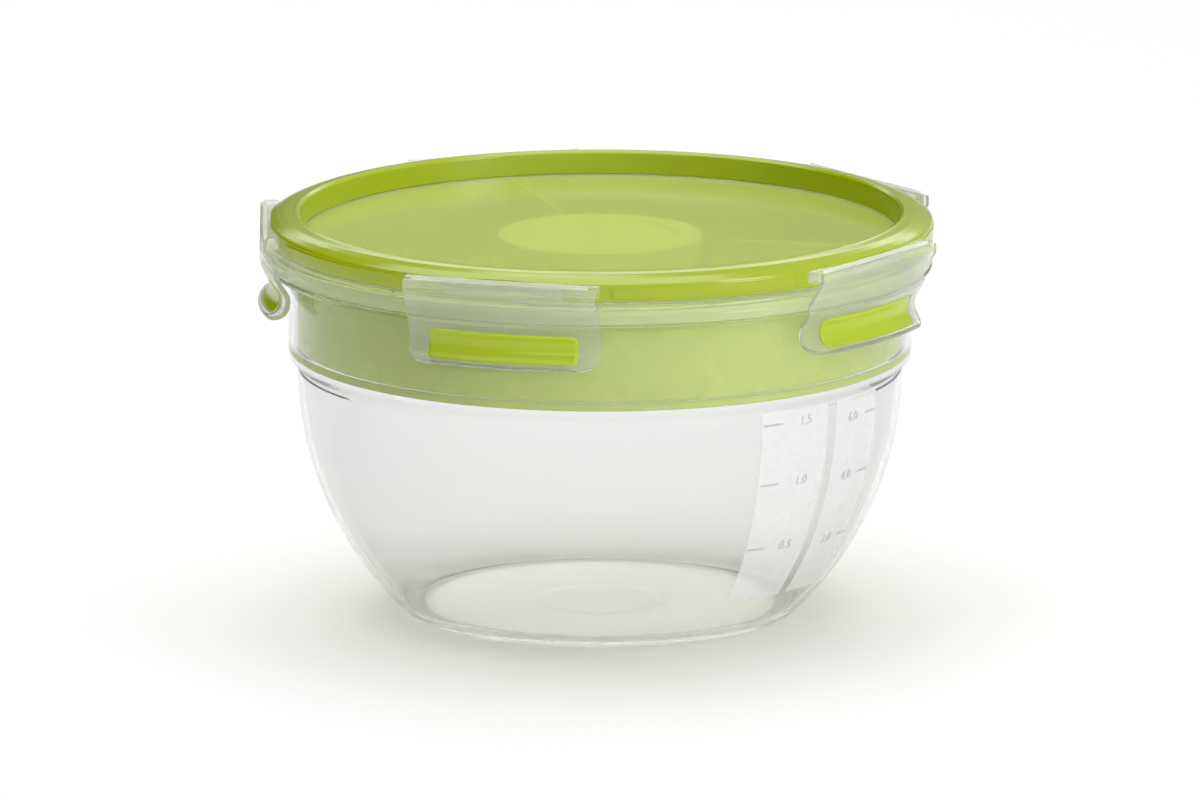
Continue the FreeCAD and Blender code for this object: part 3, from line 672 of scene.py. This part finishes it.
PANEL_BOTTOM = 116.2
PANEL_TOP = 117.7
PLUG = (91.9, 93.7)
PLUG_BOTTOM = 109.8
SKIRT = (100.6, 102.2)
SKIRT_TOP = 116.7
GUTTER = (94.9, 99.1)
GUTTER_TOP = 115.4
ROOF_BOTTOM = 113.9
SKIRT_LINES = (111.9, 114.6)
NOTCH_FACE = 98.8
BLOCK_FACE = 102.7
HALF_CLIP = 30.5
BLOCK_BOTTOM = 118.7
COLLAR_RADIUS = 100.5
COLLAR_TOP = 120.9
RING_WALL = (91.5, 93.15)
RING_FOOT = PANEL_TOP + 0.05
RING_EDGE = (102.05, 122.1)
LIP_INNER = 98.7
LIP_BOTTOM = HINGE_Z + 0.06
LIP_FACE = 101.2
BAND_INNER = 100.56
BAND_OUTER = 102.2
BAND_FOOT = SKIRT_TOP + 0.06
BAND_MIDDLE = 119.35


def make_lid_shell():
    """Clear lid: sunken panel, plug wall, gutter under the ring, and a skirt with fine lines."""
    section = soften([(0, PANEL_BOTTOM), (PLUG[0], PANEL_BOTTOM, 0.3), (PLUG[0], PLUG_BOTTOM, 0.4),
                      (PLUG[1], PLUG_BOTTOM, 0.4), (PLUG[1], ROOF_BOTTOM, 0.2),
                      (SKIRT[0], ROOF_BOTTOM, 0.2), (SKIRT[0], SKIRT_BOTTOM, 0.4),
                      (SKIRT[1], SKIRT_BOTTOM, 0.4), (SKIRT[1], SKIRT_TOP, 0.15),
                      (COLLAR_RADIUS, SKIRT_TOP, 0.1), (COLLAR_RADIUS, COLLAR_TOP, 0.3),
                      (GUTTER[1], 121.2, 0.3), (GUTTER[1], GUTTER_TOP, 0.4),
                      (GUTTER[0], GUTTER_TOP, 0.4), (GUTTER[0], 121.8, 0.3),
                      (93.2, 122.2, 0.3), (93.2, PANEL_TOP, 0.3), (0, PANEL_TOP)], 4)
    outline = dense(section, 1.2, closed=False)
    outer = SKIRT[1] - 0.1

    def pick(r, z):
        return 1 if r < 92.5 and z > PANEL_BOTTOM - 0.3 else 0

    def skirt_lines(r, z, angle):
        if r > outer and SKIRT_BOTTOM < z < SKIRT_TOP - 0.1:
            for line in SKIRT_LINES:
                r += 0.18 * math.exp(-((z - line) / 0.28) ** 2)
        return r, z

    rows = []
    for a, b in zip(outline, outline[1:]):
        rows.append(a)
        if a[0] > outer and b[0] > outer:
            steps = max(1, int(abs(b[1] - a[1]) / 0.12))
            rows += [(a[0], a[1] + (b[1] - a[1]) * k / steps) for k in range(1, steps)]
    rows.append(outline[-1])
    shell = lathe("lid_shell_body", rows, ["lid", "panel"], "lid", pick=pick,
                  shape=skirt_lines)
    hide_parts("lid_shell")
    for number, turn in enumerate(CLIP_TURNS, start=1):
        make_hinge_block("lid_hinge_block_%d" % number, turn)


def make_hinge_block(name, turn):
    """Straight clear ledge between the round collar and the clip's hinge line."""
    groove = 0.65
    groove_points = [(HINGE_X + groove * math.cos(t), HINGE_Z + groove * math.sin(t))
                     for t in [math.radians(252 - 72 * k / 6) for k in range(7)]]
    verts = []
    slices = 64
    for i in range(slices + 1):
        y = -HALF_CLIP + 2 * HALF_CLIP * i / slices
        collar = max(NOTCH_FACE + 0.1, math.sqrt(COLLAR_RADIUS ** 2 - y * y))
        end = max(0.0, abs(y) - (HALF_CLIP - 0.5))
        pinch = 0.5 - math.sqrt(max(0.25 - end * end, 0.0))
        face_x = BLOCK_FACE - pinch
        column = [(collar, BLOCK_BOTTOM), (face_x - 0.35, BLOCK_BOTTOM),
                  (face_x - 0.1, BLOCK_BOTTOM + 0.1), (face_x, BLOCK_BOTTOM + 0.35),
                  (face_x, HINGE_Z - 0.95)]
        column += [(x - pinch, z) for x, z in groove_points]
        column += [(BLOCK_FACE - 1.1 - pinch, HINGE_Z), (NOTCH_FACE + 0.2, HINGE_Z),
                   (NOTCH_FACE + 0.1, HINGE_Z - 0.1), (NOTCH_FACE + 0.1, COLLAR_TOP + 0.05),
                   (collar, COLLAR_TOP + 0.04)]
        verts += [turned((x, y, z), turn) for x, z in column]
    faces = tube_faces(slices, len(verts) // (slices + 1))
    return finish_mesh(name, verts, faces, ["lid"], body="lid", sharp=40)


def make_lid_ring():
    """Sloping top with its inner wall, and a raised band between each pair of clips."""
    section = [(RING_WALL[0], RING_FOOT, 0.2), (RING_WALL[1], RING_FOOT, 0.2),
               (RING_WALL[1], 122.3, 0.3), (95.0, 121.95, 0.3), (LIP_INNER, 121.25, 0.1),
               (LIP_INNER, LIP_BOTTOM, 0.05), (RING_EDGE[0] - 0.05, LIP_BOTTOM), RING_EDGE,
               (101.85, 122.27), (101.3, 122.6, 0.4), (99.4, 123.55, 3.0), (97.0, 124.3, 4.0),
               (94.4, 124.62, 1.0), (93.5, RING_CREST + 0.02, 0.5), (92.3, 124.1, 0.6)]
    outline = dense(loop_soften(section, 6), 0.4)

    def lip_notch(r, z, angle):
        return (min(r, LIP_FACE / math.cos(nearest_clip(angle))), z)

    ring = lathe("lid_ring_top", outline, ["ring"], "lid", 1080, shape=lip_notch)
    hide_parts("lid_ring")
    for number, turn in enumerate(CLIP_TURNS, start=1):
        make_ring_band("lid_ring_band_%d" % number, turn + CLIP_STEP / 2)


def make_ring_band(name, middle):
    """Outer wall between two clips, swelling slightly, tapering to the clips' flats."""
    section = dense(loop_soften([(BAND_INNER, BAND_FOOT, 0.2), (BAND_OUTER, BAND_FOOT, 0.25),
                                 (BAND_OUTER, RING_EDGE[1] - 0.4, 0.3), RING_EDGE,
                                 (BAND_INNER, RING_EDGE[1], 0.1)], 6), 0.28)
    half = CLIP_STEP / 2 - math.degrees(math.acos(NOTCH_FACE / BAND_INNER)) - 0.01
    half_length = math.radians(CLIP_STEP / 2) * BAND_OUTER - HALF_CLIP - 3.4
    half_height, corner, swell, fade = 1.95, 1.6, 0.42, 0.55
    steps = 140
    verts = []
    for i in range(steps + 1):
        off = -half + 2 * half * i / steps
        reach = NOTCH_FACE / math.cos(math.radians(CLIP_STEP / 2 - abs(off)))
        along = max(0.0, math.radians(abs(off)) * BAND_OUTER - (half_length - corner))
        for r, z in section:
            if r > BAND_OUTER - 0.2:
                up = max(0.0, abs(z - BAND_MIDDLE) - (half_height - corner))
                r += swell * smooth((corner - math.hypot(along, up)) / fade)
            verts.append(turned((min(r, reach), 0.0, z), middle + off))
    return finish_mesh(name, verts, tube_faces(steps, len(section)), ["ring"], body="lid")


def make_lid_seal():
    """Soft ring with two lips that press on the bowl's rim."""
    root, tip = 113.85, 109.35
    section = [(93.9, root, 0.1), (93.9, 112.2, 0.3), (95.0, tip, 0.25), (95.7, tip, 0.25),
               (97.0, 112.0, 0.4), (97.4, 112.0, 0.4), (98.7, tip, 0.25), (99.4, tip, 0.25),
               (100.5, 112.2, 0.3), (100.5, root, 0.1)]
    seal = lathe("lid_seal_ring", loop_soften(section, 4), ["seal"], "lid")
    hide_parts("lid_seal")


# ---------------------------------------------------------------- clips

CLIP_INNER = 103.1
HALF_THICK = 0.7
SLOPE = 30
SLOPE_SIN, SLOPE_COS = 0.5, 0.8660254
SLOPE_START = 109.3
SLOPE_LENGTH = 4.8
SLOPE_END = (CLIP_INNER - SLOPE_LENGTH * SLOPE_SIN, SLOPE_START - SLOPE_LENGTH * SLOPE_COS)
CURL = 6.5
CURL_CENTRE = (SLOPE_END[0] + CURL * SLOPE_COS, SLOPE_END[1] - CURL * SLOPE_SIN)
CURL_START = 180 - SLOPE
LIP_TURN = 254
CLIP_HEAD = 118.5
CLIP_ROUND = 111.5


def clip_spine():
    """Middle line of the clip's section: straight down, sloping in, then curling out."""
    x = CLIP_INNER + HALF_THICK
    half_bend = math.tan(math.radians(SLOPE / 2))
    knee = SLOPE_START - HALF_THICK * half_bend
    reach, middle = 1.2, CURL - HALF_THICK
    slope_top = (x - reach * SLOPE_SIN, knee - reach * SLOPE_COS)
    points = [(x, HINGE_Z - 0.9)]
    points += arc((x, knee + reach), slope_top, reach / half_bend, False, 8)
    points += [(SLOPE_END[0] + HALF_THICK * SLOPE_COS, SLOPE_END[1] - HALF_THICK * SLOPE_SIN)]
    points += [(CURL_CENTRE[0] + middle * math.cos(math.radians(a)),
                CURL_CENTRE[1] + middle * math.sin(math.radians(a)))
               for a in list(range(CURL_START + 3, LIP_TURN, 3)) + [LIP_TURN]]
    return dense(points, 0.45, closed=False)


def spine_frames():
    """The middle line's points, each with its outward normal and its distance along it."""
    line = clip_spine()
    frames, travelled = [], 0.0
    for i, p in enumerate(line):
        a, b = line[max(0, i - 1)], line[min(len(line) - 1, i + 1)]
        t = Vector((b[0] - a[0], b[1] - a[1])).normalized()
        if i:
            travelled += math.hypot(p[0] - line[i - 1][0], p[1] - line[i - 1][1])
        frames.append((p, (-t.y, t.x), travelled))
    return frames


SPINE = spine_frames()
CLIP_LENGTH = SPINE[-1][2]
GRIP_LOW = CLIP_LENGTH - 1.2
GRIP_HIGH = GRIP_LOW - 11.3
GRIP_HALF = 23.7
GRIP_MIDDLE = (GRIP_LOW + GRIP_HIGH) / 2
GRIP_REACH = (GRIP_LOW - GRIP_HIGH) / 2
RECESS_DEPTH = 0.62
RECESS_RIM = 0.22


def rounded_box_distance(x, y, half_x, half_y, corner):
    """Distance from a rounded rectangle about the origin, negative inside."""
    dx = abs(x) - (half_x - corner)
    dy = abs(y) - (half_y - corner)
    outside = math.hypot(max(dx, 0), max(dy, 0))
    return outside + min(max(dx, dy), 0) - corner


def recess_height(y, s):
    """How far the clip's outer face rises round the grip's recess or drops inside it."""
    d = rounded_box_distance(y, s - GRIP_MIDDLE, GRIP_HALF, GRIP_REACH, 2.4)
    rim = RECESS_RIM * math.exp(-((d - 1.1) / 0.55) ** 2)
    return rim - RECESS_DEPTH * smooth((0.15 - d) / 0.5)


def clip_point(s, y, out):
    """A point at a distance down the clip, across it, and out from its middle line.

    The head is straight and the rest follows the round rim, with a ruled part between."""
    index = min(len(SPINE) - 2, max(0, int(s / CLIP_LENGTH * (len(SPINE) - 1)) - 2))
    while index < len(SPINE) - 2 and SPINE[index + 1][2] < s:
        index += 1
    (p, n, s0), (q, m, s1) = SPINE[index], SPINE[index + 1]
    t = (s - s0) / max(s1 - s0, 1e-9)
    x = p[0] + (q[0] - p[0]) * t + (n[0] + (m[0] - n[0]) * t) * out
    z = p[1] + (q[1] - p[1]) * t + (n[1] + (m[1] - n[1]) * t) * out
    roundness = min(1.0, max(0.0, (CLIP_HEAD - z) / (CLIP_HEAD - CLIP_ROUND)))
    return (x + (math.sqrt(x * x - y * y) - x) * roundness, y, z)


def clip_loop(y):
    """Closed outline of the clip's section at one place across it, thinner at the sides."""
    corner, ease = 6.0, 0.5
    rows, cap_steps = 72, 6
    over = max(0.0, abs(y) - (HALF_CLIP - corner))
    length = CLIP_LENGTH - (corner - math.sqrt(max(corner ** 2 - over ** 2, 0.0)))
    edge = max(0.0, abs(y) - (HALF_CLIP - ease))
    thin = HALF_THICK - ease + math.sqrt(max(ease ** 2 - edge ** 2, 0.0))
    down = [length * k / rows for k in range(rows + 1)]
    turns = [math.pi * k / cap_steps for k in range(1, cap_steps)]
    loop = [clip_point(s, y, thin + recess_height(y, s)) for s in down]
    _, normal, _ = SPINE[-1]
    for t in turns:
        x, _, z = clip_point(length, y, thin * math.cos(t))
        push = thin * math.sin(t) * 0.75
        loop.append((x + normal[1] * push, y, z - normal[0] * push))
    loop += [clip_point(s, y, -thin) for s in reversed(down)]
    for t in turns:
        x, _, z = clip_point(0, y, -thin * math.cos(t))
        loop.append((x, y, z + thin * math.sin(t) * 0.6))
    return loop


def make_clip(number, turn):
    """Clip plate lofted from side to side, with a strip of quads over each side."""
    even = [round(-HALF_CLIP + 2 * HALF_CLIP * i / 120, 4) for i in range(121)]
    sides = [sign * (HALF_CLIP - d) for d in (0, 0.03, 0.1, 0.2, 0.33, 0.5, 0.75)
             for sign in (-1, 1)]
    slices = sorted(set(even + sides))
    verts = [turned(p, turn) for y in slices for p in clip_loop(y)]
    ring = len(verts) // len(slices)
    faces = tube_faces(len(slices) - 1, ring, ends=False)
    for base in (0, (len(slices) - 1) * ring):
        last = base + ring - 1
        faces += [[base + k, base + k + 1, last - 1 - k, last - k]
                  for k in range(ring // 2 - 1)]
    body = "clip_body_%d" % number
    clip = finish_mesh("clip_%d_plate" % number, verts, faces, ["clip"], body=body, sharp=50)
    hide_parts("clip_%d" % number)
    make_grip(number, turn, body)


def make_grip(number, turn, body):
    """Soft pad with an eased edge, seated in the clip's recess."""
    across, down = 96, 36
    gap, corner = 0.12, 2.3
    half_s, half_y = GRIP_REACH - gap, GRIP_HALF - gap
    verts = []

    def outline(u, v):
        """Squeezes a square grid into a rounded rectangle."""
        y, s = u * half_y, v * half_s
        over = max(0.0, abs(s) - (half_s - corner))
        limit = half_y - (corner - math.sqrt(max(corner ** 2 - over ** 2, 0.0)))
        return y * limit / half_y, s

    def crowded(t):
        """Moves grid lines toward the edges."""
        return math.sin(t * math.pi / 2) * 0.4 + t * 0.6

    for layer in (0, 1):
        for j in range(down + 1):
            for i in range(across + 1):
                y, s = outline(crowded(2 * i / across - 1), crowded(2 * j / down - 1))
                d = -rounded_box_distance(y, s, half_y, half_s, corner)
                crown = 0.55 * math.sqrt(max(0.0, 1 - (1 - min(1.0, d / 0.7)) ** 2))
                out = HALF_THICK - 0.55 if layer else HALF_THICK - 0.25 + crown
                verts.append(turned(clip_point(GRIP_MIDDLE + s, y, out), turn))
    grip = finish_mesh("clip_%d_grip" % number, verts, sheet_faces(across, down), ["grip"],
                       body=body, sharp=60)
    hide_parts("clip_grip_%d" % number)


def make_film_hinge(number, turn):
    """Round flexible strip on the line where the clip bends."""
    half, radius, ease, steps, spans = 28.0, 0.6, 0.4, 20, 40
    end = [(half - ease, radius), (half - 0.15, 0.45), (half, 0.25)]
    stations = [(-y, r) for y, r in reversed(end)]
    stations += [(ease - half + 2 * (half - ease) * i / spans, radius)
                 for i in range(1, spans)]
    stations += end
    verts = []
    for y, r in stations:
        for k in range(steps):
            t = 2 * math.pi * k / steps
            verts.append(turned((HINGE_X + r * math.cos(t), y, HINGE_Z + r * math.sin(t)), turn))
    film = finish_mesh("film_hinge_%d_strip" % number, verts,
                       tube_faces(len(stations) - 1, steps), ["film"],
                       body="film_hinge_body_%d" % number, sharp=60)
    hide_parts("film_hinge_%d" % number)


# ---------------------------------------------------------------- studio

def make_floor():
    reach, z = 40.0, -0.0001
    mesh = bpy.data.meshes.new("studio_floor")
    mesh.from_pydata([(-reach, -reach, z), (reach, -reach, z), (reach, reach, z),
                      (-reach, reach, z)], [], [[0, 1, 2, 3]])
    mat, tree, shader, _ = new_material("studio_floor_paper")
    tone = noise_value(tree, 2.0, 3.0)
    mix = mix_colours(tree, tone, (0.955, 0.955, 0.955), (0.95, 0.95, 0.95))
    link(tree, mix, "Result", shader, "Base Color")
    shader.inputs["Roughness"].default_value = 0.6
    shader.inputs["Specular IOR Level"].default_value = 0.2
    mesh.materials.append(mat)
    floor = bpy.data.objects.new("studio_floor", mesh)
    bpy.context.scene.collection.objects.link(floor)


def make_world():
    """White surround, brighter toward the top, the front and the right."""
    world = bpy.data.worlds.new("studio_world")
    bpy.context.scene.world = world
    world.use_nodes = True
    tree = world.node_tree
    background = tree.nodes["Background"]
    background.inputs["Color"].default_value = (1.0, 1.0, 1.0, 1.0)
    coords = tree.nodes.new("ShaderNodeTexCoord")
    split = tree.nodes.new("ShaderNodeSeparateXYZ")
    link(tree, coords, "Generated", split, "Vector")

    def ramp(axis, start, end, low, high):
        span = tree.nodes.new("ShaderNodeMapRange")
        span.interpolation_type = "SMOOTHSTEP"
        for key, value in (("From Min", start), ("From Max", end), ("To Min", low),
                           ("To Max", high)):
            span.inputs[key].default_value = value
        link(tree, split, axis, span, "Value")
        return span

    def added(first, second):
        total = tree.nodes.new("ShaderNodeMath")
        tree.links.new(first.outputs[0], total.inputs[0])
        tree.links.new(second.outputs[0], total.inputs[1])
        return total

    sides = added(ramp("X", -0.9, 0.6, -0.62, 0.1), ramp("Y", -0.4, 0.6, 0.15, -0.2))
    total = added(ramp("Z", 0.15, 0.7, 0.60, 0.66), sides)
    link(tree, total, "Value", background, "Strength")


def add_area(name, place, target, width, height, power, shadow=True):
    """Area light at a place, aimed at a target, in metres and watts."""
    light = bpy.data.lights.new(name, "AREA")
    light.shape = "RECTANGLE"
    light.size, light.size_y = width, height
    light.energy = power
    light.use_shadow = shadow
    lamp = bpy.data.objects.new(name, light)
    lamp.location = place
    aim = Vector(target) - Vector(place)
    lamp.rotation_euler = aim.to_track_quat("-Z", "Y").to_euler()
    bpy.context.scene.collection.objects.link(lamp)


def make_studio():
    """Pale floor, white surround, a large soft light above and softer fills round it."""
    make_floor()
    make_world()
    add_area("overhead_panel", (-0.5, 0.7, 3.0), (0.0, 0.0, 0.0), 3.0, 3.0, 66.0)
    add_area("key_right", (1.4, -1.1, 0.75), (0.05, 0, 0.07), 0.6, 0.9, 10.5, shadow=False)
    add_area("strip_left", (-1.3, -0.9, 0.7), (0, 0, 0.06), 0.25, 1.0, 0.4)
    add_area("front_strip", (-0.3, -2.4, 1.1), (0, 0, 0.1), 2.2, 0.25, 8.0)
    add_area("back_panel", (0.0, 3.0, 1.5), (0, 0, 0.1), 2.4, 0.5, 7.0)


def make_camera():
    """Long lens slightly above the container, aimed at its middle."""
    distance, frame_width = 6.0, 0.3696
    elevation = math.radians(12.0)
    target = Vector((0, 0, 0.0649))
    data = bpy.data.cameras.new("camera")
    data.sensor_width = 36.0
    data.lens = data.sensor_width * distance / frame_width
    data.clip_start, data.clip_end = 0.1, 100.0
    cam = bpy.data.objects.new("camera", data)
    back = Vector((0, -math.cos(elevation), math.sin(elevation)))
    cam.location = target + back * distance
    cam.rotation_euler = (-back).to_track_quat("-Z", "Y").to_euler()
    bpy.context.scene.collection.objects.link(cam)
    bpy.context.scene.camera = cam


make_bowl()
make_scale()
make_tray()
make_pot()
make_lid_shell()
make_lid_ring()
make_lid_seal()
for index, clip_turn in enumerate(CLIP_TURNS, start=1):
    make_clip(index, clip_turn)
    make_film_hinge(index, clip_turn)
make_studio()
make_camera()

scene = bpy.context.scene
scene.view_settings.view_transform = "Standard"
scene.cycles.max_bounces = 24
scene.cycles.transmission_bounces = 24
scene.cycles.transparent_max_bounces = 24
scene.cycles.glossy_bounces = 8
scene.cycles.diffuse_bounces = 5
